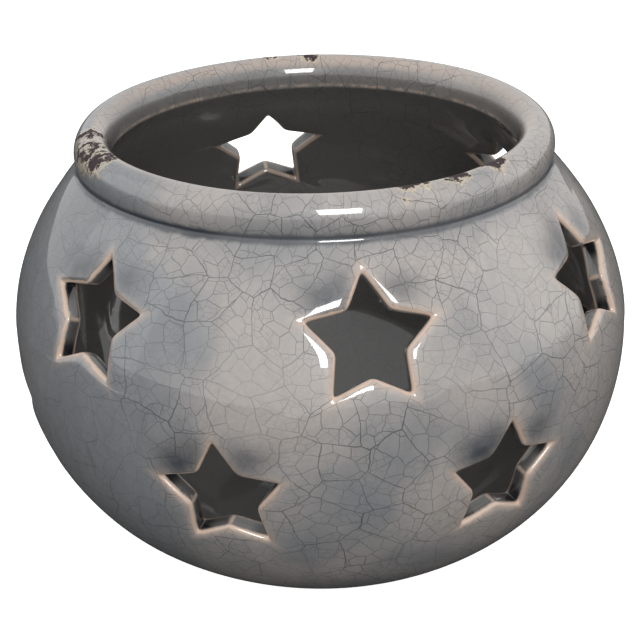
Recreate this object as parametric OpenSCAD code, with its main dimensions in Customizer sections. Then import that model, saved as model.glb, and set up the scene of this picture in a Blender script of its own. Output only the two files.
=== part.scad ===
// Tealight holder: a round glazed bowl with a rolled rim and two rows of star openings, and the
// tealight that stands loose on its floor. Millimetres, +Z up. The origin is the middle of the
// foot, on the surface that the holder stands on. Azimuth 0 is -Y and grows towards +X.

/* [Bowl] */
// Greatest outside diameter, at the belly
bowl_d = 160; // [130:1:200]
// Height from the table to the top of the rim
bowl_h = 119; // [99:1:145]
// Depth of the belly, where the bowl is widest, below the top of the rim
belly_drop = 52; // [46:1:60]
// Thickness of the fired clay wall
wall = 5.6; // [4:0.1:7]
// How full the curve above the belly is; 2 is an ellipse
upper_fullness = 1.82; // [1.7:0.02:2.2]
// How full the curve below the belly is; 2 is an ellipse
lower_fullness = 2.26; // [1.9:0.02:2.4]

/* [Rim] */
// Clear diameter of the mouth
mouth_d = 103.4; // [86:0.2:124]
// Width of the rolled rim, from the mouth outwards
rim_w = 9.2; // [7.6:0.1:11]
// Height of the rolled rim
rim_h = 11.6; // [9.6:0.1:14]
// Depth of the ridge inside the mouth, below the top of the rim
ridge_drop = 7.6; // [6.8:0.1:8.6]
// Rounding of that ridge
ridge_r = 1.2; // [0.6:0.1:1.6]
// Height of the neck curve that joins the ridge to the inside wall
neck_blend = 10; // [7:0.5:14]

/* [Foot] */
// Outside diameter of the foot ring
foot_d = 57; // [48:1:68]
// Width of the foot ring
foot_w = 4.5; // [3:0.5:7]
// Height of the foot ring's outer edge
foot_edge = 1.6; // [1:0.1:3]
// Rounding of that edge
foot_bevel = 0.7; // [0.3:0.1:0.9]
// Depth of the recess inside the foot ring
foot_recess = 1.8; // [1:0.1:3]
// Thickness of the floor over the recess
floor_t = 5.6; // [4.6:0.1:7]

/* [Stars] */
// Tip-to-tip diameter of a star
star_d = 30.4; // [25:0.2:36.6]
// Diameter through the notches of a star
notch_d = 16.4; // [13.6:0.2:19.8]
// Height of the upper row above the belly
upper_row = 22.5; // [21:0.5:24]
// Depth of the lower row below the belly
lower_row = 16; // [14:0.5:20]
// Azimuth, lift above the row and spin of each star in the upper row, as cut by hand
upper_stars = [[9, 1, -0.5], [63, 0.3, -2], [128, -0.6, 4], [193, 0, -3], [254, 0.5, 2], [314, -2.4, 1.5]];
// The same for each star in the lower row
lower_stars = [[-17, -0.4, 5.5], [34, 0, -2], [95, 0.6, 3], [157, -0.5, -4], [219, 0.4, 2], [281, -0.7, -3]];

/* [Tealight] */
// Diameter of the aluminium cup
cup_d = 38; // [31:0.1:46]
// Height of the cup
cup_h = 15.4; // [14.6:0.1:18.6]
// Thickness of the cup's foil
foil = 0.3; // [0.2:0.05:0.5]
// Diameter of the rolled edge of the cup
cup_roll = 1; // [0.8:0.1:1.4]
// Rounding where the cup's side meets its bottom
cup_edge = 1; // [0.5:0.1:2]
// Height of the raised plate in the bottom of the cup
plate_h = 0.5; // [0.3:0.1:1]
// Width of the foot that the cup stands on, around the plate
cup_foot = 4; // [2:0.5:6]
// Gap between the cup and the edge of the flat floor that it stands on
floor_gap = 2.6; // [0.5:0.1:6]
// Azimuth on that floor at which the cup stands
cup_azimuth = 117; // [0:1:360]
// Height of the wax
wax_h = 11.6; // [9.6:0.1:14]
// How far the top of the wax dips in the middle
wax_dip = 0.8; // [0.2:0.1:1.5]
// Gap all round between the wax and the rolled edge of the cup
wax_gap = 0.25; // [0.1:0.05:0.5]
// Diameter of the wick
wick_d = 1.8; // [1.4:0.1:2.4]
// Straight length of wick that stands out of the wax
wick_out = 3.5; // [1:0.5:8]
// Angle of the bend in its free end
wick_bend = 32; // [10:1:60]
// Radius of that bend
wick_bend_r = 8; // [4:0.5:12]
// Gap between the wick and what it passes through
wick_gap = 0.05; // [0.02:0.01:0.1]
// Diameter of the steel disc that holds the wick up
disc_d = 12.5; // [10:0.5:15]
// Thickness of the disc and of its crimped neck
disc_t = 0.3; // [0.2:0.05:0.5]
// Height of the crimped neck above the disc
crimp_h = 3; // [2:0.5:5]

/* [Hidden] */
$fn = 96;
curve_steps = 22;
arc_steps = 14;
groove_angle = -42;
rim_end_angle = 184;
ridge_end_angle = 225;
neck_lead = 0.35;
recess_slope = 1.5;
star_depth = 4 * wall;
slope_step = 0.5;
wax_edge = 0.6;

belly_r = bowl_d / 2;
belly_z = bowl_h - belly_drop;
mouth_r = mouth_d / 2;
foot_r = foot_d / 2;
floor_z = foot_recess + floor_t;
rim_half = [rim_w / 2, rim_h / 2];
rim_at = [mouth_r + rim_half[0], bowl_h - rim_half[1]];
ridge_at = [mouth_r + ridge_r, bowl_h - ridge_drop];
groove = oval_point(rim_at, rim_half, groove_angle);
// Half heights of the two curves, so that they pass through the groove and the foot's edge
upper_h = (groove[1] - belly_z) / fall(groove[0] / belly_r, upper_fullness);
lower_h = (belly_z - foot_edge) / fall(foot_r / belly_r, lower_fullness);
flat_floor_r = radius_at(floor_z, wall);

cup_r = cup_d / 2;
cup_side_r = cup_r - cup_roll / 2;
plate_r = cup_side_r - cup_foot;
wax_r = cup_r - cup_roll - wax_gap;
neck_d = wick_d + 2 * wick_gap + 2 * disc_t;
cup_shift = flat_floor_r - cup_r - floor_gap;

// The other coordinate, as a share, of a point on a rounded curve of the given fullness
function fall(share, fullness) = pow(1 - pow(share, fullness), 1 / fullness);

// Radius of the bowl at height z, on the curve that lies inset inside the outer face
function radius_at(z, inset) =
    let (above = z >= belly_z)
    let (half = (above ? upper_h : lower_h) - inset)
    (belly_r - inset) * fall(abs(z - belly_z) / half, above ? upper_fullness : lower_fullness);

// Points up that curve from z0 to z1, closer together where it turns fast
function curve(z0, z1, inset) =
    let (a0 = asin((z0 - belly_z) / (lower_h - inset)))
    let (a1 = asin((z1 - belly_z) / (upper_h - inset)))
    [for (i = [0:curve_steps])
        let (a = a0 + (a1 - a0) * i / curve_steps)
        let (z = belly_z + sin(a) * ((a < 0 ? lower_h : upper_h) - inset))
        [radius_at(z, inset), z]];

function oval_point(at, half, angle) = at + [half[0] * cos(angle), half[1] * sin(angle)];

function oval_arc(at, half, from, to) =
    [for (i = [0:arc_steps]) oval_point(at, half, from + (to - from) * i / arc_steps)];

// A quadratic curve from a to c that leaves and arrives towards b, without its end points
function bend(a, b, c) =
    [for (i = [1:arc_steps - 1])
        let (t = i / arc_steps)
        (1 - t) * (1 - t) * a + 2 * t * (1 - t) * b + t * t * c];

// Section of the bowl: across the foot, up the outside, round the rim, down the inside
function bowl_section() =
    let (ridge_end = oval_point(ridge_at, [ridge_r, ridge_r], ridge_end_angle))
    let (neck_z = ridge_at[1] - neck_blend)
    let (neck_end = [radius_at(neck_z, wall), neck_z])
    let (neck_mid = ridge_end + neck_blend * neck_lead * [1, -1])
    let (inside = curve(floor_z, neck_z, wall))
    concat(
        [[0, foot_recess], [foot_r - foot_w - recess_slope, foot_recess], [foot_r - foot_w, 0]],
        [[foot_r - foot_bevel, 0], [foot_r, foot_bevel]],
        curve(foot_edge, groove[1], 0),
        [for (i = [1:arc_steps]) oval_arc(rim_at, rim_half, groove_angle, rim_end_angle)[i]],
        oval_arc(ridge_at, [ridge_r, ridge_r], rim_end_angle, ridge_end_angle),
        bend(ridge_end, neck_mid, neck_end),
        [for (i = [curve_steps:-1:0]) inside[i]],
        [[0, floor_z]]
    );

module star_outline() {
    polygon([for (i = [0:9]) (i % 2 == 0 ? star_d : notch_d) / 2 * [sin(36 * i), cos(36 * i)]]);
}

// A star-shaped punch, square to the wall at height z
module star_punch(azimuth, z, spin) {
    slope = atan((radius_at(z + slope_step, 0) - radius_at(z - slope_step, 0)) / (2 * slope_step));
    rotate([0, 0, azimuth])
        translate([0, -radius_at(z, 0), z])
            rotate([90 + slope, 0, 0])
                rotate([0, 0, spin])
                    translate([0, 0, -star_depth / 2])
                        linear_extrude(height = star_depth) star_outline();
}

module ceramic_bowl() {
    color([0.58, 0.56, 0.54])
        difference() {
            rotate_extrude() polygon(bowl_section());
            for (s = upper_stars) star_punch(s[0], belly_z + upper_row + s[1], s[2]);
            for (s = lower_stars) star_punch(s[0], belly_z - lower_row + s[1], s[2]);
        }
}

// Stands its children on the floor of the bowl, where the tealight is
module on_floor() {
    translate([cup_shift * sin(cup_azimuth), -cup_shift * cos(cup_azimuth), floor_z]) children();
}

// Stands its children on the plate inside the cup
module in_cup() {
    on_floor() translate([0, 0, plate_h + foil]) children();
}

module tealight_cup() {
    out_r = cup_side_r + foil / 2;
    in_r = cup_side_r - foil / 2;
    roll_at = [cup_side_r, cup_h - cup_roll / 2];
    roll_start = acos(foil / cup_roll);
    color([0.82, 0.83, 0.84]) on_floor() rotate_extrude() polygon(concat(
        [[0, plate_h], [plate_r - foil, plate_h], [plate_r - foil, 0]],
        [[out_r - cup_edge, 0], [out_r, cup_edge]],
        oval_arc(roll_at, [cup_roll / 2, cup_roll / 2], -roll_start, 180 + roll_start),
        [[in_r, foil + cup_edge], [in_r - cup_edge, foil]],
        [[plate_r, foil], [plate_r, foil + plate_h], [0, foil + plate_h]]
    ));
}

module wax() {
    color([0.95, 0.94, 0.9]) in_cup() difference() {
        rotate_extrude() polygon([
            [0, 0], [wax_r - wax_edge, 0], [wax_r, wax_edge], [wax_r, wax_h - wax_edge],
            [wax_r - wax_edge, wax_h], [wax_r / 2, wax_h - wax_dip / 2], [0, wax_h - wax_dip]
        ]);
        translate([0, 0, -wax_h / 2]) {
            cylinder(d = wick_d + 2 * wick_gap, h = 2 * wax_h);
            cylinder(d = disc_d + 2 * wax_gap, h = wax_h / 2 + disc_t + wick_gap);
            cylinder(d = neck_d + 2 * wick_gap, h = wax_h / 2 + disc_t + crimp_h + wick_gap);
        }
    }
}

module wick() {
    bend_z = wax_h + wick_out;
    color([0.93, 0.91, 0.86]) in_cup() {
        translate([0, 0, disc_t]) cylinder(d = wick_d, h = bend_z - disc_t);
        translate([-wick_bend_r, 0, bend_z])
            rotate([90, 0, 0])
                rotate_extrude(angle = wick_bend) translate([wick_bend_r, 0]) circle(d = wick_d);
    }
}

module wick_sustainer() {
    color([0.7, 0.7, 0.72]) in_cup() difference() {
        union() {
            cylinder(d = disc_d, h = disc_t);
            cylinder(d = neck_d, h = disc_t + crimp_h);
        }
        translate([0, 0, disc_t]) cylinder(d = wick_d + 2 * wick_gap, h = 2 * crimp_h);
    }
}

ceramic_bowl();
tealight_cup();
wax();
wick();
wick_sustainer();
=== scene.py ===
"""Looks of the tealight holder: the glazed bowl with its cut stars, and the tealight inside it."""

import math

import bmesh
import bpy
import numpy as np
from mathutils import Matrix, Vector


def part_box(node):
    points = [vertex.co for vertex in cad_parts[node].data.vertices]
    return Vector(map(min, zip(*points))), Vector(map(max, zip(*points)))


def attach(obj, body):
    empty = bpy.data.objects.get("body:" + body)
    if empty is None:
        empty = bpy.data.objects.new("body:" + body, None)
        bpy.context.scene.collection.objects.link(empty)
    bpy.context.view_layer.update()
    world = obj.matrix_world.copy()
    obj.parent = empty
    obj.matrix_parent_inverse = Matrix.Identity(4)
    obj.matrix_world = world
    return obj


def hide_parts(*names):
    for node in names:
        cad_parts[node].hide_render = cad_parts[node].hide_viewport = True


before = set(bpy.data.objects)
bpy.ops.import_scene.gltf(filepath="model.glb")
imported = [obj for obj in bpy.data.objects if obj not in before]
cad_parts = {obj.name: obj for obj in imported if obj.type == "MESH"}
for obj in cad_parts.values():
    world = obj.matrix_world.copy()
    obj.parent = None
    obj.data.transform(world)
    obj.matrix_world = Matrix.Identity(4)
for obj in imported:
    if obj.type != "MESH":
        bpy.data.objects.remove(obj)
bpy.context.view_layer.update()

MM = 0.001
QUARTER = math.pi / 2

# The bowl's own sizes, in millimetres, as its frame has them
BOWL_LOW, BOWL_HIGH = (np.array(corner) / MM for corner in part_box("ceramic_bowl"))
BOWL_H = BOWL_HIGH[2]
BELLY_R = (BOWL_HIGH[0] - BOWL_LOW[0]) / 2
BELLY_Z = BOWL_H - 52
WALL = 5.6
UPPER_FULLNESS, LOWER_FULLNESS = 1.82, 2.26
MOUTH_R = 51.7
RIM_HALF = np.array([4.6, 5.8])
RIM_AT = np.array([MOUTH_R + RIM_HALF[0], BOWL_H - RIM_HALF[1]])
GROOVE_ANGLE, RIM_END_ANGLE, RIDGE_END_ANGLE = -42, 184, 225
RIDGE_R, RIDGE_DROP = 1.2, 7.6
FOOT_R, FOOT_W, FOOT_EDGE, FOOT_RECESS = 28.5, 4.5, 1.6, 1.8
FLOOR_Z = 7.4

# The stars: azimuth from -Y towards +X, lift above the row and spin, in degrees and millimetres
TIP_R, NOTCH_R = 15.2, 8.2
UPPER_ROW, LOWER_ROW = BELLY_Z + 22.5, BELLY_Z - 16
UPPER_STARS = [(9, 1, -0.5), (63, 0.3, -2), (128, -0.6, 4), (193, 0, -3), (254, 0.5, 2), (314, -2.4, 1.5)]
LOWER_STARS = [(-17, -0.4, 5.5), (34, 0, -2), (95, 0.6, 3), (157, -0.5, -4), (219, 0.4, 2), (281, -0.7, -3)]

# The mesh of the wall: columns round the bowl, and the cell of wall that each star replaces
COLUMNS = 144
CELL_COLUMNS, CELL_ROWS = 15, 15
CELL_BELOW, CELL_ABOVE = 17.6, 19.4
RING = 2 * (CELL_COLUMNS + CELL_ROWS)
SEAM_SPARE = 0.6
EDGE_STEPS = (0.08, 0.3, 0.5, 0.7, 0.92)
TIP_BLUNT, NOTCH_BLUNT = 0.45, 0.3
TIP_GROWTH, NOTCH_GROWTH = 0.85, 1.1
# How far from a star its marks are kept, and the value that stands for far away
STAR_REACH, FAR = 22, 40
# Where glaze gathers beside a star: place, width and height in its plane, and strength
POOLS = [(-9.5, 9.5, 5.5, 4.5, 1.0), (-4.5, 13.5, 3.5, 4, 0.5), (8, 11.5, 5, 4, 0.75)]

# The marks of the hand: a rim that leans and sits aside, and a dent beside the belly
RIM_TILT, RIM_SHIFT, LEAN_FROM_TO = math.radians(1.18), -1.36, (95, 108)
DENT_AZIMUTH, DENT_Z, DENT_DEPTH, DENT_SPREAD = -87, 38.5, 0.9, 7
# Softened lip of a star, as distance outside the cut and depth below the outer face
OUTER_LIP = [(3.0, 0.02), (1.6, 0.2), (0.65, 0.6), (0.12, 1.15), (0, 2.1)]
# The same towards the inside face, as distance outside the cut and height left above that face
INNER_LIP = [(0, 1.5), (0.15, 0.7), (0.7, 0.15), (1.9, 0)]


def fall(share, fullness):
    """The other coordinate, as a share, of a point on a rounded curve of the given fullness."""
    return np.clip(1 - np.clip(share, 0, 1) ** fullness, 0, 1) ** (1 / fullness)


def oval_point(at, half, degrees):
    """A point on an oval round at."""
    angle = math.radians(degrees)
    return at + half * np.array([math.cos(angle), math.sin(angle)])


GROOVE = oval_point(RIM_AT, RIM_HALF, GROOVE_ANGLE)
UPPER_H = (GROOVE[1] - BELLY_Z) / fall(GROOVE[0] / BELLY_R, UPPER_FULLNESS)
LOWER_H = (BELLY_Z - FOOT_EDGE) / fall(FOOT_R / BELLY_R, LOWER_FULLNESS)


def wall_radius(z, inset=0.0):
    """Radius of the wall at height z, on the curve that lies inset inside the outer face."""
    z = np.asarray(z, float)
    above = z >= BELLY_Z
    share = np.abs(z - BELLY_Z) / (np.where(above, UPPER_H, LOWER_H) - inset)
    return (BELLY_R - inset) * np.where(above, fall(share, UPPER_FULLNESS), fall(share, LOWER_FULLNESS))


def fine_curve(z0, z1, inset):
    """Many points along the wall's curve, and their distance along it from z0."""
    turn = np.linspace(math.asin((z0 - BELLY_Z) / (LOWER_H - inset)),
                       math.asin(min(1, (z1 - BELLY_Z) / (UPPER_H - inset))), 1500)
    z = BELLY_Z + np.sin(turn) * (np.where(turn < 0, LOWER_H, UPPER_H) - inset)
    points = np.stack([wall_radius(z, inset), z], 1)
    run = np.r_[0, np.cumsum(np.linalg.norm(np.diff(points, axis=0), axis=1))]
    return points, run


OUTSIDE, OUTSIDE_RUN = fine_curve(FOOT_EDGE, GROOVE[1], 0)
INSIDE, INSIDE_RUN = fine_curve(FLOOR_Z, GROOVE[1] - 5, WALL)


def outside_at(run):
    """Points of the outer face at distances along it from the foot."""
    return np.stack([np.interp(run, OUTSIDE_RUN, OUTSIDE[:, i]) for i in (0, 1)], 1)


def run_at(z):
    """Distance along the outer face from the foot to height z."""
    return float(np.interp(z, OUTSIDE[:, 1], OUTSIDE_RUN))


def nearest(curve, flat):
    """For each flat point, the number of the nearest point of a curve."""
    parts = [flat[start:start + 4000] for start in range(0, len(flat), 4000)]
    return np.concatenate([((part[:, None] - curve) ** 2).sum(2).argmin(1) for part in parts])


def unturned(places):
    """Points brought round the axis into one half plane, as (radius, height)."""
    return np.stack([np.hypot(places[:, 0], places[:, 1]), places[:, 2]], 1)


def onto(curve, places):
    """Moves points to the nearest place on a curve of (radius, height), turned round the axis."""
    flat = unturned(places)
    near = curve[nearest(curve, flat)]
    share = near[:, 0] / flat[:, 0]
    return np.stack([places[:, 0] * share, places[:, 1] * share, near[:, 1]], 1)


# ---- modelling by hand ----

def edit(obj, mode="VERT"):
    """Goes into edit mode on one object with nothing selected."""
    if bpy.context.object and bpy.context.object.mode != "OBJECT":
        bpy.ops.object.mode_set(mode="OBJECT")
    bpy.ops.object.select_all(action="DESELECT")
    bpy.context.view_layer.objects.active = obj
    obj.select_set(True)
    bpy.ops.object.mode_set(mode="EDIT")
    bpy.ops.mesh.select_mode(type=mode)
    bpy.ops.mesh.select_all(action="DESELECT")


def done():
    """Goes back to object mode."""
    bpy.ops.object.mode_set(mode="OBJECT")


def added(name):
    """Names the object that an operator has just added."""
    obj = bpy.context.object
    obj.name = obj.data.name = name
    return obj


def coords(obj):
    """The object's vertices, in millimetres."""
    flat = np.empty(3 * len(obj.data.vertices))
    obj.data.vertices.foreach_get("co", flat)
    return flat.reshape(-1, 3) / MM


def put(obj, places):
    """Places the object's vertices, given in millimetres."""
    obj.data.vertices.foreach_set("co", (np.asarray(places) * MM).ravel())
    obj.data.update()


def lathe(name, section, steps, closed=False):
    """Turns a section of (radius, height) round the Z axis: an edge is extruded point by point, then spun."""
    bpy.ops.object.select_all(action="DESELECT")
    bpy.ops.mesh.primitive_plane_add(size=MM)
    obj = added(name)
    edit(obj)
    bpy.ops.mesh.select_all(action="SELECT")
    bpy.ops.mesh.merge(type="CENTER")
    points = [np.array([r, 0, z]) for r, z in section]
    if closed:
        points.append(points[0])
    bpy.ops.transform.translate(value=tuple(points[0] * MM))
    at = points[0]
    for point in points[1:]:
        bpy.ops.mesh.extrude_region_move(TRANSFORM_OT_translate={"value": tuple((point - at) * MM)})
        at = point
    bpy.ops.mesh.select_all(action="SELECT")
    bpy.ops.mesh.spin(steps=steps, angle=2 * math.pi, center=(0, 0, 0), axis=(0, 0, 1))
    bpy.ops.mesh.select_all(action="SELECT")
    bpy.ops.mesh.remove_doubles(threshold=0.002 * MM)
    bpy.ops.mesh.normals_make_consistent(inside=False)
    done()
    return obj


def smoothed(obj, levels):
    """Applies a subdivision surface and shades the piece smooth."""
    bpy.ops.object.select_all(action="DESELECT")
    bpy.context.view_layer.objects.active = obj
    obj.select_set(True)
    if levels:
        soft = obj.modifiers.new("soft", "SUBSURF")
        soft.levels = soft.render_levels = levels
        bpy.ops.object.modifier_apply(modifier=soft.name)
    bpy.ops.object.shade_smooth()
    return obj


def attribute(obj, name, values):
    """Stores one number or one vector for each vertex."""
    values = np.asarray(values, float)
    kind = "FLOAT" if values.ndim == 1 else "FLOAT_VECTOR"
    layer = obj.data.attributes.new(name, kind, "POINT")
    layer.data.foreach_set("value" if values.ndim == 1 else "vector", values.ravel())


# ---- the bowl ----

def star_frames():
    """Middle, right, up and outward directions of each star, and the row it is in."""
    frames = []
    for row, stars in ((UPPER_ROW, UPPER_STARS), (LOWER_ROW, LOWER_STARS)):
        for azimuth, lift, spin in stars:
            z = row + lift
            turn, roll = math.radians(azimuth), math.radians(spin)
            slope = math.atan(float(wall_radius(z + 0.5) - wall_radius(z - 0.5)))
            out = np.array([math.sin(turn), -math.cos(turn), 0])
            along = np.array([math.cos(turn), math.sin(turn), 0])
            normal = out * math.cos(slope) - np.array([0, 0, math.sin(slope)])
            up = out * math.sin(slope) + np.array([0, 0, math.cos(slope)])
            right = along * math.cos(roll) + up * math.sin(roll)
            up = up * math.cos(roll) - along * math.sin(roll)
            frames.append((out * float(wall_radius(z)) + [0, 0, z], right, up, normal, row, azimuth))
    return frames


STARS = star_frames()


def star_outline(grow):
    """The points of a star's outline, clockwise from its top tip, grown outwards."""
    sharp = (TIP_R + TIP_GROWTH * grow, NOTCH_R + NOTCH_GROWTH * grow)
    blunt = (sharp[0] - TIP_BLUNT, sharp[1] + NOTCH_BLUNT)
    corners = [np.array([math.sin(turn), math.cos(turn)]) for turn in np.radians(36 * np.arange(11))]
    points = []
    for side in range(10):
        this, other = side % 2, (side + 1) % 2
        start, end = sharp[this] * corners[side], sharp[other] * corners[side + 1]
        # Only the corner itself is blunted; the edges run towards the sharp one
        points.append(blunt[this] * corners[side])
        points += [start * (1 - step) + end * step for step in EDGE_STEPS]
    return np.array(points)


def pierce(star, flat, inset):
    """Where lines along a star's axis, at flat places in its plane, meet the wall's curve."""
    middle, right, up, normal = star[:4]
    places = middle + flat[:, :1] * right + flat[:, 1:] * up
    for _ in range(30):
        gap = np.hypot(places[:, 0], places[:, 1]) - wall_radius(np.clip(places[:, 2], 0, BOWL_H - 8), inset)
        places = places - 0.9 * gap[:, None] * normal
    return places


def star_collar(star):
    """The sides of one star opening: a ring extruded through the wall, from the outer face inwards."""
    bpy.ops.object.select_all(action="DESELECT")
    bpy.ops.mesh.primitive_circle_add(vertices=RING, radius=1)
    collar = added("collar")
    edit(collar, "EDGE")
    bpy.ops.mesh.select_all(action="SELECT")
    loops = [(grow, depth, 0.0) for grow, depth in OUTER_LIP]
    loops += [(grow, -height, WALL) for grow, height in INNER_LIP]
    for _ in loops[1:]:
        bpy.ops.mesh.extrude_region_move(TRANSFORM_OT_translate={"value": (0, 0, 1)})
    done()
    blank = coords(collar) * MM
    layer = np.rint(blank[:, 2]).astype(int)
    place = np.rint(np.arctan2(blank[:, 0], blank[:, 1]) / (2 * math.pi) * RING).astype(int) % RING
    shaped = np.empty_like(blank)
    for number, (grow, depth, inset) in enumerate(loops):
        ring = pierce(star, star_outline(grow), inset) - depth * star[3]
        shaped[layer == number] = ring[place[layer == number]]
    put(collar, shaped)
    return collar


def bowl_section():
    """Section of the bowl, and the heights of the cells of its two rows, outside and inside."""
    low, high = run_at(LOWER_ROW), run_at(UPPER_ROW)
    runs = np.r_[
        np.linspace(0, low - CELL_BELOW, 17)[1:-1],
        np.linspace(low - CELL_BELOW, low + CELL_ABOVE, CELL_ROWS + 1),
        np.linspace(high - CELL_BELOW, high + CELL_ABOVE, CELL_ROWS + 1),
    ]
    lines = outside_at(runs)
    ahead, behind = outside_at(runs + 0.2), outside_at(runs - 0.2)
    along = (ahead - behind) / np.linalg.norm(ahead - behind, axis=1)[:, None]
    inner_z = lines[:, 1] + WALL * along[:, 0]
    inner_z = np.where(inner_z > FLOOR_Z + 1.5, inner_z, np.nan)
    inner = [(float(wall_radius(z, WALL)), z) for z in inner_z if not np.isnan(z)]
    last = outside_at(np.linspace(runs[-1], OUTSIDE_RUN[-1], 4)[1:])
    rim = [oval_point(RIM_AT, RIM_HALF, a) for a in np.linspace(GROOVE_ANGLE, RIM_END_ANGLE, 19)[1:]]
    ridge_at = np.array([MOUTH_R + RIDGE_R, BOWL_H - RIDGE_DROP])
    ridge = [oval_point(ridge_at, np.array([RIDGE_R] * 2), a) for a in (190, 207, RIDGE_END_ANGLE)]
    start, end = ridge[-1], np.array(inner[-1])
    middle = start + np.array([3.5, -3.5])
    neck = [(1 - t) ** 2 * start + 2 * t * (1 - t) * middle + t * t * end for t in (0.2, 0.4, 0.6, 0.8)]
    floor_z = FLOOR_Z + np.array([0.8, 0.3])
    floor = [(float(wall_radius(z, WALL)), z) for z in floor_z] + [(r, FLOOR_Z) for r in (27.5, 22, 14, 6, 0)]
    under = [(r, FOOT_RECESS) for r in (0, 7, 14, 20, 22.4)] + [(23.4, 0.9), (24.1, 0.1), (25.2, 0)]
    under += [(27, 0), (28, 0.15), (28.45, 0.8), (FOOT_R, FOOT_EDGE)]
    section = under + list(lines) + list(last) + rim + ridge + neck + inner[::-1] + floor
    rows = {}
    for row, start_line in ((LOWER_ROW, 15), (UPPER_ROW, 15 + CELL_ROWS + 1)):
        end_line = start_line + CELL_ROWS
        rows[row] = (lines[start_line][1], lines[end_line][1], inner_z[start_line], inner_z[end_line])
    return section, rows


def in_cell(star, rows, places, spare=0.0):
    """Which places are on the outer face, and which on the inner one, within a star's cell of wall."""
    x, y, z = np.asarray(places).T
    low, high, inner_low, inner_high = rows[star[4]]
    step = 360 / COLUMNS
    middle = (math.floor(star[5] / step) + 0.5) * step
    turn = (np.degrees(np.arctan2(x, -y)) - middle + 180) % 360 - 180
    beside = np.abs(turn) < CELL_COLUMNS * step / 2 + spare
    outside = np.hypot(x, y) - wall_radius(z) > -WALL / 2
    on_outer = beside & outside & (z > low - spare) & (z < high + spare)
    return on_outer, beside & ~outside & (z > inner_low - spare) & (z < inner_high + spare)


def open_cells(bowl, rows):
    """Deletes the cells of wall, on both faces, that the openings take the place of."""
    middles = np.empty(3 * len(bowl.data.polygons))
    bowl.data.polygons.foreach_get("center", middles)
    middles = middles.reshape(-1, 3) / MM
    opened = np.zeros(len(middles), bool)
    for star in STARS:
        on_outer, on_inner = in_cell(star, rows, middles)
        opened |= on_outer | on_inner
    edit(bowl, "FACE")
    done()
    bowl.data.polygons.foreach_set("select", opened)
    bpy.ops.object.mode_set(mode="EDIT")
    bpy.ops.mesh.delete(type="FACE")
    done()


def sew(bowl, rows):
    """Bridges each collar's open edges to the edges of its cell, and brings the new points onto the wall."""
    edit(bowl, "EDGE")
    before = len(bowl.data.vertices)
    for star in STARS:
        for face in (0, 1):
            mesh = bmesh.from_edit_mesh(bowl.data)
            for seam in mesh.edges:
                seam.select_set(False)
            open_edges = [seam for seam in mesh.edges if seam.is_boundary]
            places = np.array([(seam.verts[0].co + seam.verts[1].co) / 2 / MM for seam in open_edges])
            for number in np.flatnonzero(in_cell(star, rows, places, SEAM_SPARE)[face]):
                open_edges[number].select_set(True)
            bmesh.update_edit_mesh(bowl.data)
            bpy.ops.mesh.bridge_edge_loops(number_cuts=1, interpolation="LINEAR")
    done()
    places = coords(bowl)
    new = places[before:]
    on_outer = np.hypot(new[:, 0], new[:, 1]) - wall_radius(new[:, 2]) > -WALL / 2
    places[before:] = np.where(on_outer[:, None], onto(OUTSIDE, new), onto(INSIDE, new))
    put(bowl, places)


def section_run():
    """Fine points along the bowl's section and their distance along it from the edge of the foot."""
    section = np.array(bowl_section()[0])
    start = int(np.argmin(np.linalg.norm(section - [FOOT_R, FOOT_EDGE], axis=1)))
    along = np.r_[0, np.cumsum(np.linalg.norm(np.diff(section, axis=0), axis=1))]
    fine = np.arange(0, along[-1], 0.25)
    points = np.stack([np.interp(fine, along, section[:, i]) for i in (0, 1)], 1)
    return points, fine - along[start]


SECTION, SECTION_RUN = section_run()


def run_of(point):
    """Distance along the section of the place nearest to a point of (radius, height)."""
    return float(SECTION_RUN[nearest(SECTION, np.array([point]))[0]])


GROOVE_RUN = run_of(GROOVE)
CREST_RUN = run_of(oval_point(RIM_AT, RIM_HALF, 118))
MOUTH_RUN = run_of(oval_point(RIM_AT, RIM_HALF, 180))
RIDGE_RUN = run_of((MOUTH_R, BOWL_H - RIDGE_DROP))
NECK_RUN = run_of((MOUTH_R + 4, BOWL_H - RIDGE_DROP - 7))
FLOOR_RUN = run_of((27.5, FLOOR_Z))


def ease(value, low, high):
    """Smooth step from 0 to 1 as the value goes from low to high."""
    share = np.clip((value - low) / (high - low), 0, 1)
    return share * share * (3 - 2 * share)


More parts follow.
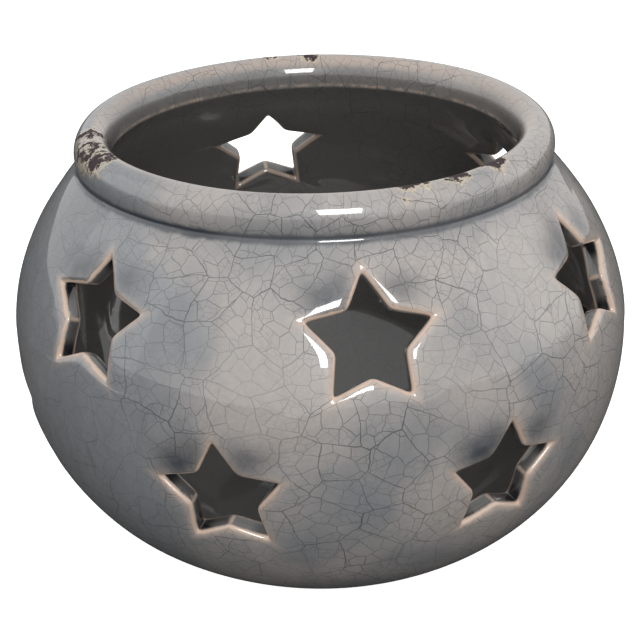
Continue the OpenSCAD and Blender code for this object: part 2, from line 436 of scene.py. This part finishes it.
def mark_bowl(bowl):
    """Stores, for the glaze, where each point is along the section and beside the stars, in millimetres."""
    places = coords(bowl)
    attribute(bowl, "run", SECTION_RUN[nearest(SECTION, unturned(places))])
    cut = np.tile([FAR, 0.0, FAR], (len(places), 1))
    corner = np.tile([FAR, FAR, 0.0], (len(places), 1))
    for star in STARS:
        away = places - star[0]
        flat = np.stack([away @ star[1], away @ star[2]], 1)
        level = away @ star[3]
        near = (np.hypot(*flat.T) < STAR_REACH) & (np.abs(level) < STAR_REACH)
        flat, level = flat[near], level[near]
        # Folded about its five lines of symmetry, a star is one edge from a tip to a notch
        turn = np.arctan2(flat[:, 0], flat[:, 1])
        fold = np.abs((turn + math.pi / 5) % (2 * math.pi / 5) - math.pi / 5)
        reach = np.hypot(*flat.T)
        folded = np.stack([reach * np.sin(fold), reach * np.cos(fold)], 1)
        tip = np.array([0, TIP_R])
        notch = NOTCH_R * np.array([math.sin(math.pi / 5), math.cos(math.pi / 5)])
        side = (notch - tip) / np.linalg.norm(notch - tip)
        gap = (folded - tip) @ np.array([-side[1], side[0]])
        outer = (pierce(star, flat, 0) - star[0]) @ star[3]
        inner = (pierce(star, flat, WALL) - star[0]) @ star[3]
        cut[near] = np.stack([gap, outer - level, level - inner], 1)
        # Glaze gathers above the two upper edges
        pool = sum(strength * np.exp(-((flat[:, 0] - x) / wide) ** 2 - ((flat[:, 1] - y) / high) ** 2)
                   for x, y, wide, high, strength in POOLS)
        corner[near] = np.stack([np.linalg.norm(folded - tip, axis=1),
                                 np.linalg.norm(folded - notch, axis=1), pool], 1)
    attribute(bowl, "cut", cut)
    attribute(bowl, "corner", corner)


def as_thrown(places):
    """Gives the true shape the lean of its rim, a dent and the slight waves of a hand-made bowl."""
    x, y, z = places.T
    azimuth = np.arctan2(x, -y)
    turn = (azimuth - math.radians(DENT_AZIMUTH) + math.pi) % (2 * math.pi) - math.pi
    push = -DENT_DEPTH * np.exp(-(turn * BELLY_R / DENT_SPREAD) ** 2 - ((z - DENT_Z) / DENT_SPREAD) ** 2)
    body = ease(z, 4, 25)
    push = push + body * (0.16 * np.sin(3 * azimuth + z / 19) + 0.1 * np.sin(7 * azimuth - z / 11 + 2))
    lean = ease(z, *LEAN_FROM_TO)
    share = 1 + push / np.maximum(np.hypot(x, y), 20)
    return np.stack([x * share + RIM_SHIFT * lean, y * share, z + math.tan(RIM_TILT) * x * lean], 1)


def make_bowl():
    """The glazed bowl: turned, cut, sewn and softened."""
    section, rows = bowl_section()
    bowl = lathe("glazed_bowl", section, COLUMNS)
    open_cells(bowl, rows)
    collars = [star_collar(star) for star in STARS]
    bpy.ops.object.select_all(action="DESELECT")
    for piece in collars + [bowl]:
        piece.select_set(True)
    bpy.context.view_layer.objects.active = bowl
    bpy.ops.object.join()
    sew(bowl, rows)
    edit(bowl)
    bpy.ops.mesh.select_all(action="SELECT")
    bpy.ops.mesh.normals_make_consistent(inside=False)
    done()
    smoothed(bowl, 1)
    mark_bowl(bowl)
    put(bowl, as_thrown(coords(bowl)))
    return bowl


# ---- the tealight ----

CUP_LOW, CUP_HIGH = (np.array(corner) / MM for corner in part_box("tealight_cup"))
WAX_LOW, WAX_HIGH = (np.array(corner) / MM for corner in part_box("wax"))
WICK_LOW, WICK_HIGH = (np.array(corner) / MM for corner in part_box("wick"))
TEALIGHT_AT = (CUP_LOW + CUP_HIGH) / 2 * [1, 1, 0]
CUP_R = (CUP_HIGH[0] - CUP_LOW[0]) / 2
WAX_R = (WAX_HIGH[0] - WAX_LOW[0]) / 2
FOIL, ROLL_R, PLATE_R, PLATE_H = 0.3, 0.5, 14.5, 0.5
FLUTES, FLUTE_DEPTH, CUP_COLUMNS = 28, 0.28, 168
WAX_DIP, WAX_EDGE = 0.8, 0.9
WICK_R, WICK_BEND, WICK_BEND_R = 0.9, math.radians(32), 8
SUSTAINER_R, SUSTAINER_H = 6.4, 3.6


def make_cup():
    """The pressed foil cup: a turned skin with a raised plate, a rolled edge and fluted sides."""
    low, high = CUP_LOW[2], CUP_HIGH[2]
    side = CUP_R - ROLL_R
    roll_at, roll_half = np.array([side, high - ROLL_R]), np.array([ROLL_R, ROLL_R])
    outer = [(0, low + PLATE_H), (7, low + PLATE_H), (PLATE_R - 0.3, low + PLATE_H), (PLATE_R, low + 0.3)]
    outer += [(PLATE_R + 0.3, low), (side - 1, low), (side - 0.3, low + 0.3), (side, low + 1)]
    outer += [(side, z) for z in np.linspace(low + 2, high - 2.2, 7)]
    outer += [tuple(oval_point(roll_at, roll_half, a)) for a in (-90, -45, 0, 45, 90, 150, 185)]
    inner = [(r - FOIL, z) for r, z in outer[14:7:-1]] + [(side - 0.5, low + 0.55), (side - 1.1, low + FOIL)]
    inner += [(PLATE_R + 0.5, low + FOIL), (PLATE_R + 0.15, low + 0.45)]
    inner += [(r, low + PLATE_H + FOIL) for r in (PLATE_R - 0.4, 7, 0)]
    cup = lathe("foil_cup", outer + inner, CUP_COLUMNS)
    places = coords(cup)
    x, y, z = places.T
    radius, azimuth = np.hypot(x, y), np.arctan2(x, -y)
    pressed = ease(z, low + 0.9, low + 2.4) * (1 - ease(z, high - 3, high - 1.4)) * (radius > side - 1)
    pinch = 1 - pressed * FLUTE_DEPTH * (0.5 - 0.5 * np.cos(FLUTES * azimuth)) / np.maximum(radius, 1)
    put(cup, np.stack([x * pinch, y * pinch, z], 1) + TEALIGHT_AT)
    return smoothed(cup, 0)


def make_wax():
    """The wax: a turned cake with soft edges, a dip towards the wick and a pocket for the sustainer."""
    low, high = WAX_LOW[2], WAX_HIGH[2]
    hole = WICK_R + 0.06
    top = high - WAX_DIP
    section = [(hole, top + 0.1), (1.6, top), (3, top + 0.02)]
    section += [(6, top + 0.12), (10, top + 0.35), (14, top + 0.62)]
    section += [(WAX_R - 1.4, high - 0.02), (WAX_R - 0.7, high - 0.08), (WAX_R - 0.2, high - 0.4)]
    section += [(WAX_R, high - WAX_EDGE), (WAX_R, high - 4), (WAX_R, low + 3), (WAX_R, low + WAX_EDGE)]
    section += [(WAX_R - 0.3, low + 0.3), (WAX_R - WAX_EDGE, low), (12, low), (SUSTAINER_R + 0.3, low)]
    section += [(SUSTAINER_R, low + 0.1), (SUSTAINER_R, low + 0.4), (1.7, low + 0.45), (1.5, low + 0.6)]
    section += [(1.5, low + SUSTAINER_H), (hole, low + SUSTAINER_H + 0.2), (hole, low + 7)]
    wax = lathe("candle_wax", section, 72, closed=True)
    smoothed(wax, 1)
    places = coords(wax)
    x, y, z = places.T
    upper = ease(z, high - 2, high - 0.6) * ease(np.hypot(x, y), 1.5, 6)
    wave = 0.09 * np.sin(0.42 * x + 1.3) * np.sin(0.37 * y) + 0.05 * np.sin(0.9 * x - 0.7 * y)
    put(wax, np.stack([x, y, z + upper * (wave - 0.12)], 1) + TEALIGHT_AT)
    return wax


def wick_path(share):
    """A point along the wick and the slope of the wick there."""
    straight = WICK_HIGH[2] - (WICK_BEND_R + WICK_R) * math.sin(WICK_BEND) - WICK_LOW[2]
    run = share * (straight + WICK_BEND_R * WICK_BEND)
    slope = max(0.0, run - straight) / WICK_BEND_R
    shift = WICK_BEND_R * (math.cos(slope) - 1)
    return np.array([shift, 0, WICK_LOW[2] + min(run, straight) + WICK_BEND_R * math.sin(slope)]), slope


def make_wick():
    """The braided wick: a ring extruded along its path, with plaited strands."""
    sides, rings = 24, 110
    bpy.ops.object.select_all(action="DESELECT")
    bpy.ops.mesh.primitive_circle_add(vertices=sides, radius=1, fill_type="NGON")
    wick = added("braided_wick")
    edit(wick, "FACE")
    bpy.ops.mesh.select_all(action="SELECT")
    for _ in range(rings):
        bpy.ops.mesh.extrude_region_move(TRANSFORM_OT_translate={"value": (0, 0, 1)})
    bpy.ops.mesh.select_all(action="SELECT")
    bpy.ops.mesh.normals_make_consistent(inside=False)
    done()
    shaped = []
    for x, y, z in coords(wick) * MM:
        place, slope = wick_path(z / rings)
        around = math.atan2(y, x)
        length = z / rings * (WICK_HIGH[2] - WICK_LOW[2])
        # Two sets of strands wind opposite ways and pass over each other
        strands = max(math.cos(3 * around + 2.1 * length), math.cos(3 * around - 2.1 * length))
        end = 1 - 0.25 * (z in (0, rings))
        radius = WICK_R * end * (0.86 + 0.12 * strands)
        across = radius * x
        shaped.append(place + [across * math.cos(slope), radius * y, across * math.sin(slope)])
    put(wick, np.array(shaped) + TEALIGHT_AT)
    return smoothed(wick, 0)


# ---- materials ----

class Nodes:
    """Adds nodes to a tree. Each call returns the output that the next one uses."""

    def __init__(self, tree):
        self.tree = tree

    def add(self, kind, out, inputs, **settings):
        """Adds one node, with its settings, and links or sets its inputs."""
        node = self.tree.nodes.new("ShaderNode" + kind)
        for name, value in settings.items():
            setattr(node, name, value)
        for key, value in inputs.items():
            if isinstance(value, bpy.types.NodeSocket):
                self.tree.links.new(value, node.inputs[key])
            else:
                node.inputs[key].default_value = value
        return node.outputs[out]

    def math(self, operation, *values):
        return self.add("Math", 0, dict(enumerate(values)), operation=operation)

    def times(self, *values):
        """Product of all the values."""
        result = values[0]
        for value in values[1:]:
            result = self.math("MULTIPLY", result, value)
        return result

    def most(self, *values):
        """Greatest of all the values."""
        result = values[0]
        for value in values[1:]:
            result = self.math("MAXIMUM", result, value)
        return result

    def vector(self, operation, *values):
        return self.add("VectorMath", 0, dict(enumerate(values)), operation=operation)

    def split(self, vector):
        """The three numbers of a vector."""
        x = self.add("SeparateXYZ", 0, {0: vector})
        return x, x.node.outputs[1], x.node.outputs[2]

    def join(self, x, y, z):
        return self.add("CombineXYZ", 0, {0: x, 1: y, 2: z})

    def rise(self, value, low, high, start=0.0, end=1.0):
        """Goes smoothly from start to end as the value goes from low to high."""
        return self.add("MapRange", 0, {0: value, 1: low, 2: high, 3: start, 4: end},
                        interpolation_type="SMOOTHSTEP")

    def blend(self, share, under, over):
        """Lays one colour over another."""
        return self.add("Mix", 2, {0: share, 6: under, 7: over}, data_type="RGBA")

    def noise(self, where, size, detail=2.0, roughness=0.5, out=0):
        """Cloudy pattern about size millimetres across; where is in millimetres."""
        return self.add("TexNoise", out, {"Vector": where, "Scale": 1 / size, "Detail": detail,
                                          "Roughness": roughness})

    def cells(self, where, size, feature, out, randomness):
        """Flat cells about size millimetres across."""
        return self.add("TexVoronoi", out, {"Vector": where, "Scale": 1 / size, "Randomness": randomness},
                        voronoi_dimensions="2D", feature=feature)

    def marks(self, name, out=1):
        """An attribute stored on the mesh."""
        return self.add("Attribute", out, {}, attribute_name=name)

    def millimetres(self):
        """Object coordinates in millimetres."""
        return self.vector("MULTIPLY", self.add("TexCoord", "Object", {}), (1 / MM, 1 / MM, 1 / MM))

    def relief(self, height, strength):
        """Normal from a height in millimetres."""
        return self.add("Bump", 0, {"Strength": strength, "Distance": MM, "Height": height})


def material(name):
    """A new material, its nodes and its Principled shader."""
    made = bpy.data.materials.new(name)
    made.use_nodes = True
    shader = made.node_tree.nodes["Principled BSDF"]
    return made, Nodes(made.node_tree), shader


def finish(nodes, shader, linked, fixed):
    """Links the varying inputs of a shader and sets its uniform ones."""
    for name, output in linked.items():
        nodes.tree.links.new(output, shader.inputs[name])
    for name, value in fixed.items():
        shader.inputs[name].default_value = value


def wear(piece, made):
    """Gives a piece one material."""
    piece.data.materials.clear()
    piece.data.materials.append(made)


def crackle(nodes, where):
    """Lines of crazed glaze: wide cells, split by finer ones that end on their borders."""
    coarse, middling, fine = 10.5, 4.4, 2.6
    drift = nodes.vector("SUBTRACT", nodes.noise(where, 18, 1, out=1), (0.5, 0.5, 0.5))
    tremble = nodes.vector("SUBTRACT", nodes.noise(where, 2.4, 1, out=1), (0.5, 0.5, 0.5))
    bent = nodes.vector("ADD", where, nodes.vector("MULTIPLY", drift, (8, 8, 0)))
    bent = nodes.vector("ADD", bent, nodes.vector("MULTIPLY", tremble, (0.7, 0.7, 0)))

    def inside_cell(place, size):
        """Moves and turns the pattern in each cell by an amount of its own."""
        colour = nodes.cells(place, size, "F1", 1, 0.8)
        red, green, _ = nodes.split(colour)
        moved = nodes.vector("ADD", place, nodes.vector("MULTIPLY", colour, (190, 230, 0)))
        turned = nodes.add("VectorRotate", 0, {"Vector": moved, "Angle": nodes.times(red, math.pi)},
                           rotation_type="Z_AXIS")
        return nodes.vector("MULTIPLY", turned, (1, 1.25, 0)), green

    def line(place, size, width):
        """Mask of the borders between cells, width millimetres wide."""
        gap = nodes.times(nodes.cells(place, size, "DISTANCE_TO_EDGE", 0, 0.8), size)
        return nodes.rise(gap, width * 0.25, width * 0.6, 1.0, 0.0)

    second, _ = inside_cell(bent, coarse)
    third, chosen = inside_cell(second, middling)
    fineness = nodes.times(line(third, fine, 0.15), nodes.rise(chosen, 0.5, 0.65), 0.6)
    return nodes.most(line(bent, coarse, 0.25), nodes.times(line(second, middling, 0.2), 0.85), fineness)


# The glaze: radius at which the bowl is unrolled, and its colours
UNROLL_R = 70
BUFF, BLUE_GREY = (0.42, 0.385, 0.36, 1), (0.232, 0.243, 0.257, 1)
INNER_RIM, UNDER_RIDGE, INSIDE_GREY = (0.16, 0.15, 0.14, 1), (0.15, 0.147, 0.14, 1), (0.11, 0.105, 0.1, 1)
POOLED, CRACK, THIN_EDGE = (0.028, 0.037, 0.05, 1), (0.06, 0.063, 0.07, 1), (0.68, 0.51, 0.40, 1)
# Colour of the cut sides, and the near black of the star tips: pooled glaze with painted shade
CUT_SIDE, TIP_POOL_AND_SHADE = (0.085, 0.083, 0.08, 1), (0.006, 0.007, 0.009, 1)
CREAM, CHIP_BROWN, BARE_CLAY = (0.62, 0.52, 0.38, 1), (0.055, 0.038, 0.042, 1), (0.42, 0.32, 0.22, 1)
# Chipped places on the rim: middle, reach and how much of the glaze is gone
CHIPS = [((-57, -20, 116.5), 12, 0.55), ((-53, -27, 117.5), 11, 0.55), ((-58, -10, 117), 10, 0.52),
         ((20, -49, 118.5), 10, 0.59), ((30, -44, 118.9), 10, 0.6), ((40, -36, 119.2), 9, 0.58),
         ((-3, 57, 118.9), 7, 0.58), ((-14, 56, 118.7), 6, 0.56), ((19, -55, 116.5), 4, 0.46)]


def make_glaze():
    """Crackled grey glaze: pooled in the groove and beside the stars, thin on edges, chipped on the rim."""
    made, nodes, shader = material("crackle_glaze")
    place = nodes.millimetres()
    x, y, z = nodes.split(place)
    run = nodes.marks("run", 2)
    gap, depth, height = nodes.split(nodes.marks("cut"))
    tip_gap, notch_gap, pool = nodes.split(nodes.marks("corner"))
    rough = nodes.noise(place, 2.6, 2)
    cloud = nodes.noise(place, 34, 3)

    # The surface unrolled to a flat sheet; its one seam is itself a wandering crack
    wander = nodes.times(nodes.math("SUBTRACT", nodes.noise(nodes.join(0.0, 0.0, z), 22, 3), 0.5), 0.6)
    turn = nodes.math("WRAP", nodes.math("SUBTRACT", nodes.math("ARCTAN2", x, nodes.times(y, -1.0)), wander),
                      math.pi, -math.pi)
    seam = nodes.times(nodes.math("SUBTRACT", math.pi, nodes.math("ABSOLUTE", turn)), UNROLL_R)
    unrolled = nodes.join(nodes.times(nodes.math("ADD", turn, wander), UNROLL_R), run, 0.0)
    on_floor = nodes.math("GREATER_THAN", run, FLOOR_RUN)
    sheet = nodes.add("Mix", 1, {0: on_floor, 4: unrolled, 5: place}, data_type="VECTOR")
    cracks = nodes.most(crackle(nodes, sheet), nodes.rise(seam, 0.08, 0.25, 1.0, 0.0))
    faint = nodes.rise(nodes.noise(place, 26, 1), 0.3, 0.62, 0.4, 1.0)

    # Body colour: buff and blue-grey clouds, bluer on one side, with a fine mottle
    side = nodes.times(x, 0.0022)
    bluish = nodes.rise(nodes.math("SUBTRACT", cloud, side), 0.36, 0.68)
    colour = nodes.blend(bluish, BUFF, BLUE_GREY)
    streak = nodes.noise(nodes.join(nodes.times(turn, UNROLL_R), nodes.times(run, 0.12), 0.0), 3.2, 2)
    mottle = nodes.math("ADD", nodes.times(streak, 0.22), nodes.times(nodes.noise(place, 0.9, 2), 0.22))
    tint = nodes.math("ADD", mottle, 0.78)
    colour = nodes.vector("MULTIPLY", colour, nodes.join(tint, tint, tint))

    # Inside the bowl the glaze is darker and browner, below a thin pale line on the ridge
    steep = nodes.rise(run, CREST_RUN - 0.5, MOUTH_RUN)
    colour = nodes.blend(nodes.times(steep, 0.9), colour, INNER_RIM)
    below = nodes.rise(run, RIDGE_RUN, RIDGE_RUN + 3)
    deep = nodes.rise(run, NECK_RUN, NECK_RUN + 22)
    colour = nodes.blend(below, colour, nodes.blend(deep, UNDER_RIDGE, INSIDE_GREY))
    ridge = nodes.rise(nodes.math("ABSOLUTE", nodes.math("SUBTRACT", run, RIDGE_RUN)), 0.15, 0.7, 1.0, 0.0)
    colour = nodes.blend(nodes.times(ridge, nodes.rise(rough, 0.3, 0.7), 0.45), colour, THIN_EDGE)
    crest_gap = nodes.math("ABSOLUTE", nodes.math("SUBTRACT", run, CREST_RUN))
    crest = nodes.times(nodes.rise(crest_gap, 0.8, 3.4, 1.0, 0.0), nodes.rise(cloud, 0.35, 0.6, 0.25, 0.8))
    colour = nodes.blend(nodes.times(crest, 0.6), colour, THIN_EDGE)

    # Glaze pooled in the groove and beside the stars
    groove_gap = nodes.math("ABSOLUTE", nodes.math("SUBTRACT", nodes.math("SUBTRACT", run, GROOVE_RUN),
                                                  nodes.times(nodes.math("SUBTRACT", rough, 0.5), 1.2)))
    level = nodes.rise(nodes.noise(place, 30, 1), 0.35, 0.6, 0.5, 1.0)
    groove = nodes.times(nodes.rise(groove_gap, 0.7, 2.2, 1.0, 0.0), nodes.rise(level, 0.5, 1.0, 0.75, 1.0))
    colour = nodes.blend(nodes.times(nodes.rise(groove_gap, 1.5, 8, 1.0, 0.0), 0.4), colour, BLUE_GREY)
    colour = nodes.blend(groove, colour, POOLED)
    outside = nodes.rise(depth, 0.6, 1.6, 1.0, 0.0)
    pooled = nodes.times(pool, nodes.rise(rough, 0.2, 0.6, 0.8, 1.0), outside)
    colour = nodes.blend(nodes.times(pooled, 0.9), colour, POOLED)

    # Cracks, drawn over the body and lost where the glaze is dark
    colour = nodes.blend(nodes.times(cracks, faint, 0.8), colour, CRACK)

    # The sides of the cuts; near black in the tips, pooled glaze with painted shade of the narrow tips; and
    # thin pale glaze on every edge
    in_cut = nodes.times(nodes.rise(depth, 0.9, 2.2), nodes.rise(gap, 0.6, 1.8, 1.0, 0.0),
                         nodes.rise(height, -0.2, 0.8))
    colour = nodes.blend(nodes.times(in_cut, 0.85), colour, CUT_SIDE)
    colour = nodes.blend(nodes.times(in_cut, nodes.rise(tip_gap, 2.2, 5.5, 1.0, 0.0)), colour, TIP_POOL_AND_SHADE)
    beside, below_face = nodes.math("SUBTRACT", gap, 0.25), nodes.math("SUBTRACT", depth, 0.8)
    edge_gap = nodes.math("SQRT", nodes.math("ADD", nodes.times(beside, beside),
                                             nodes.times(below_face, below_face)))
    edge_gap = nodes.math("ADD", edge_gap, nodes.times(nodes.math("SUBTRACT", rough, 0.5), 0.9))
    halo = nodes.times(nodes.rise(edge_gap, 0.4, 2.8, 1.0, 0.0), outside,
                       nodes.rise(pool, 0.15, 0.7, 0.4, 0.1))
    colour = nodes.blend(halo, colour, THIN_EDGE)
    edge = nodes.rise(edge_gap, 0.35, 0.85, 1.0, 0.0)
    inner_gap = nodes.math("ABSOLUTE", nodes.math("SUBTRACT", height, 0.5))
    inner_edge = nodes.times(nodes.rise(inner_gap, 0.2, 0.9, 1.0, 0.0),
                             nodes.rise(gap, 0.5, 1.2, 1.0, 0.0), 0.6)
    notch = nodes.times(nodes.rise(notch_gap, 0.25, 0.95, 1.0, 0.0), in_cut, 0.75)
    colour = nodes.blend(nodes.times(nodes.most(edge, inner_edge, notch), 0.92), colour, THIN_EDGE)

    # Chips through to the dark body, with a cream border where the glaze is thin
    broken = nodes.noise(nodes.vector("MULTIPLY", place, (1, 1, 0.7)), 2.4, 6, 0.75)
    zone = nodes.most(*[
        nodes.rise(nodes.add("VectorMath", 1, {0: place, 1: middle}, operation="DISTANCE"),
                   reach * 0.25, reach, amount, 0.0)
        for middle, reach, amount in CHIPS])
    zone = nodes.times(zone, nodes.rise(run, GROOVE_RUN + 1, GROOVE_RUN + 4))
    bite = nodes.math("SUBTRACT", nodes.math("ADD", broken, zone), 1.0)
    chip = nodes.rise(bite, 0.0, 0.015)
    cream = nodes.rise(bite, -0.1, -0.05)
    colour = nodes.blend(nodes.times(cream, 0.85), colour, CREAM)
    colour = nodes.blend(chip, colour, CHIP_BROWN)
    foot = nodes.rise(nodes.math("ADD", run, nodes.times(rough, 1.4)), -0.2, 0.5, 1.0, 0.0)
    bare = nodes.times(foot, nodes.rise(run, -FOOT_W - 2, -FOOT_W - 1.4))
    colour = nodes.blend(bare, colour, nodes.blend(rough, BARE_CLAY, CREAM))

    dull = nodes.most(chip, bare)
    ripple = nodes.times(nodes.noise(place, 7, 1), 0.12)
    fine_ripple = nodes.times(nodes.noise(place, 1.6, 1), 0.012)
    surface_height = nodes.math("ADD", ripple, fine_ripple)
    surface_height = nodes.math("SUBTRACT", surface_height, nodes.times(cracks, 0.02))
    surface_height = nodes.math("SUBTRACT", surface_height, nodes.times(chip, 0.3))
    surface_height = nodes.math("ADD", surface_height, nodes.times(dull, nodes.noise(place, 0.5, 3), 0.1))
    finish(nodes, shader, {
        "Base Color": colour,
        "Roughness": nodes.math("ADD", nodes.times(dull, 0.5), nodes.rise(rough, 0.2, 0.8, 0.28, 0.4)),
        "Coat Weight": nodes.math("SUBTRACT", 1.0, dull),
        "Normal": nodes.relief(surface_height, 0.8),
    }, {"Coat Roughness": 0.04, "Coat IOR": 1.75, "Specular IOR Level": 0.35})
    return made


def rubbed_metal():
    """Node group for thin pressed metal: fine rub marks and small dents."""
    group = bpy.data.node_groups.new("rubbed_metal", "ShaderNodeTree")
    for name, kind in (("Place", "NodeSocketVector"), ("Mark Size", "NodeSocketFloat")):
        group.interface.new_socket(name, in_out="INPUT", socket_type=kind)
    for name, kind in (("Rub", "NodeSocketFloat"), ("Normal", "NodeSocketVector")):
        group.interface.new_socket(name, in_out="OUTPUT", socket_type=kind)
    nodes = Nodes(group)
    given = group.nodes.new("NodeGroupInput").outputs
    scaled = nodes.vector("DIVIDE", given["Place"], nodes.join(given["Mark Size"], given["Mark Size"], 4.0))
    rub = nodes.noise(scaled, 0.6, 4, 0.6)
    dents = nodes.noise(given["Place"], 3.5, 2)
    height = nodes.math("ADD", nodes.times(dents, 0.12), nodes.times(rub, 0.012))
    result = group.nodes.new("NodeGroupOutput").inputs
    group.links.new(rub, result["Rub"])
    group.links.new(nodes.relief(height, 0.7), result["Normal"])
    return group


def make_metal(name, group, mark_size, bright, dark, roughness):
    """A thin pressed metal with rub marks."""
    made, nodes, shader = material(name)
    marks = nodes.tree.nodes.new("ShaderNodeGroup")
    marks.node_tree = group
    marks.inputs["Mark Size"].default_value = mark_size
    nodes.tree.links.new(nodes.millimetres(), marks.inputs["Place"])
    rub = marks.outputs["Rub"]
    finish(nodes, shader, {
        "Base Color": nodes.blend(nodes.rise(rub, 0.35, 0.7), dark, bright),
        "Roughness": nodes.rise(rub, 0.3, 0.7, roughness, roughness + 0.16),
        "Normal": marks.outputs["Normal"],
    }, {"Metallic": 1.0})
    return made


def make_wax_look():
    """Warm white paraffin with faint frosting."""
    made, nodes, shader = material("paraffin")
    place = nodes.millimetres()
    frost = nodes.noise(place, 5, 4, 0.6)
    grain = nodes.noise(place, 0.7, 2)
    finish(nodes, shader, {
        "Base Color": nodes.blend(nodes.rise(frost, 0.35, 0.7), (0.84, 0.81, 0.74, 1), (0.93, 0.92, 0.88, 1)),
        "Roughness": nodes.rise(frost, 0.3, 0.7, 0.3, 0.48),
        "Normal": nodes.relief(nodes.math("ADD", nodes.times(frost, 0.1), nodes.times(grain, 0.02)), 0.6),
    }, {"Subsurface Weight": 0.35, "Subsurface Radius": (1.0, 0.85, 0.65), "Subsurface Scale": 0.004})
    return made


def make_cotton_look():
    """Waxed cotton strands."""
    made, nodes, shader = material("waxed_cotton")
    place = nodes.millimetres()
    strand = nodes.noise(nodes.vector("MULTIPLY", place, (1, 1, 0.25)), 0.16, 3)
    finish(nodes, shader, {
        "Base Color": nodes.blend(strand, (0.62, 0.57, 0.47, 1), (0.9, 0.88, 0.81, 1)),
        "Roughness": nodes.rise(strand, 0.3, 0.7, 0.55, 0.8),
        "Normal": nodes.relief(nodes.times(strand, 0.08), 0.7),
    }, {})
    return made


# ---- putting the holder together ----

def fitted(piece, made, body, node):
    """Gives a new piece its material, hangs it under its body and hides the CAD node it takes the place of.
    """
    wear(piece, made)
    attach(piece, body)
    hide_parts(node)


pressed = rubbed_metal()
fitted(make_bowl(), make_glaze(), "holder", "ceramic_bowl")
foil_look = make_metal("cup_foil", pressed, 1.0, (0.86, 0.86, 0.87, 1), (0.66, 0.66, 0.67, 1), 0.2)
fitted(make_cup(), foil_look, "tealight", "tealight_cup")
fitted(make_wax(), make_wax_look(), "candle", "wax")
fitted(make_wick(), make_cotton_look(), "candle", "wick")
tin_look = make_metal("tinned_steel", pressed, 0.6, (0.7, 0.69, 0.67, 1), (0.5, 0.49, 0.47, 1), 0.28)
wear(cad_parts["wick_sustainer"], tin_look)

# ---- camera, lights and floor ----

CAMERA_TILT, CAMERA_FAR, CAMERA_LENS, SENSOR = 25.2, 471.1, 98.77, 36
CAMERA_LOOKS_AT, CAMERA_LIFT = 56.3, 0.66
# Soft lights: azimuth, elevation, distance in metres, width and height in metres, and watts
SOFTBOXES = [(9.7, 28.2, 0.9, (0.266, 0.311), 3.3),
             (-88, 8, 1.0, (0.9, 1.2), 1.2),
             (88, 8, 1.0, (0.9, 1.2), 1.2)]
WORLD_ON_OBJECT = 0.72


def put_camera():
    """A long lens looking down at the holder."""
    bpy.ops.object.select_all(action="DESELECT")
    tilt = math.radians(CAMERA_TILT)
    height = CAMERA_LOOKS_AT + CAMERA_FAR * math.sin(tilt)
    bpy.ops.object.camera_add(location=(0, -CAMERA_FAR * math.cos(tilt) * MM, height * MM),
                              rotation=(QUARTER - math.radians(CAMERA_TILT - CAMERA_LIFT), 0, 0))
    camera = bpy.context.object
    camera.data.lens = CAMERA_LENS
    camera.data.sensor_width = SENSOR
    camera.data.clip_start = 0.01
    bpy.context.scene.camera = camera


def put_softbox(azimuth, elevation, far, size, power):
    """A soft light at a bearing from the middle of the bowl, facing it; size is width and height."""
    turn, rise = math.radians(azimuth), math.radians(elevation)
    place = (far * math.sin(turn) * math.cos(rise), -far * math.cos(turn) * math.cos(rise),
             far * math.sin(rise) + BELLY_Z * MM)
    bpy.ops.object.light_add(type="AREA", location=place, rotation=(QUARTER - rise, 0, turn))
    light = bpy.context.object
    light.data.shape = "RECTANGLE"
    light.data.size, light.data.size_y = size
    light.data.energy = power


def put_floor():
    """A white sweep that reads as white to the camera and sends little light up under the bowl."""
    bpy.ops.object.select_all(action="DESELECT")
    bpy.ops.mesh.primitive_plane_add(size=8)
    floor = added("floor")
    made, nodes, shader = material("white_paper")
    seen = nodes.add("LightPath", "Is Camera Ray", {})
    grain = nodes.noise(nodes.millimetres(), 60, 1)
    white = nodes.blend(grain, (0.86, 0.86, 0.86, 1), (0.9, 0.9, 0.9, 1))
    finish(nodes, shader, {
        "Base Color": nodes.blend(seen, (0.07, 0.07, 0.07, 1), white),
        "Emission Color": nodes.blend(seen, (0, 0, 0, 1), (1, 1, 1, 1)),
    }, {"Roughness": 0.9, "Emission Strength": 0.85})
    wear(floor, made)


def light_world():
    """White all round for the camera, softer on the object."""
    world = bpy.data.worlds.new("studio")
    bpy.context.scene.world = world
    world.use_nodes = True
    nodes = Nodes(world.node_tree)
    seen = nodes.add("LightPath", "Is Camera Ray", {})
    background = world.node_tree.nodes["Background"]
    world.node_tree.links.new(nodes.rise(seen, 0.0, 1.0, WORLD_ON_OBJECT, 1.0), background.inputs["Strength"])
    background.inputs["Color"].default_value = (1, 1, 1, 1)


put_camera()
put_floor()
light_world()
for softbox in SOFTBOXES:
    put_softbox(*softbox)
bpy.context.scene.view_settings.view_transform = "Standard"
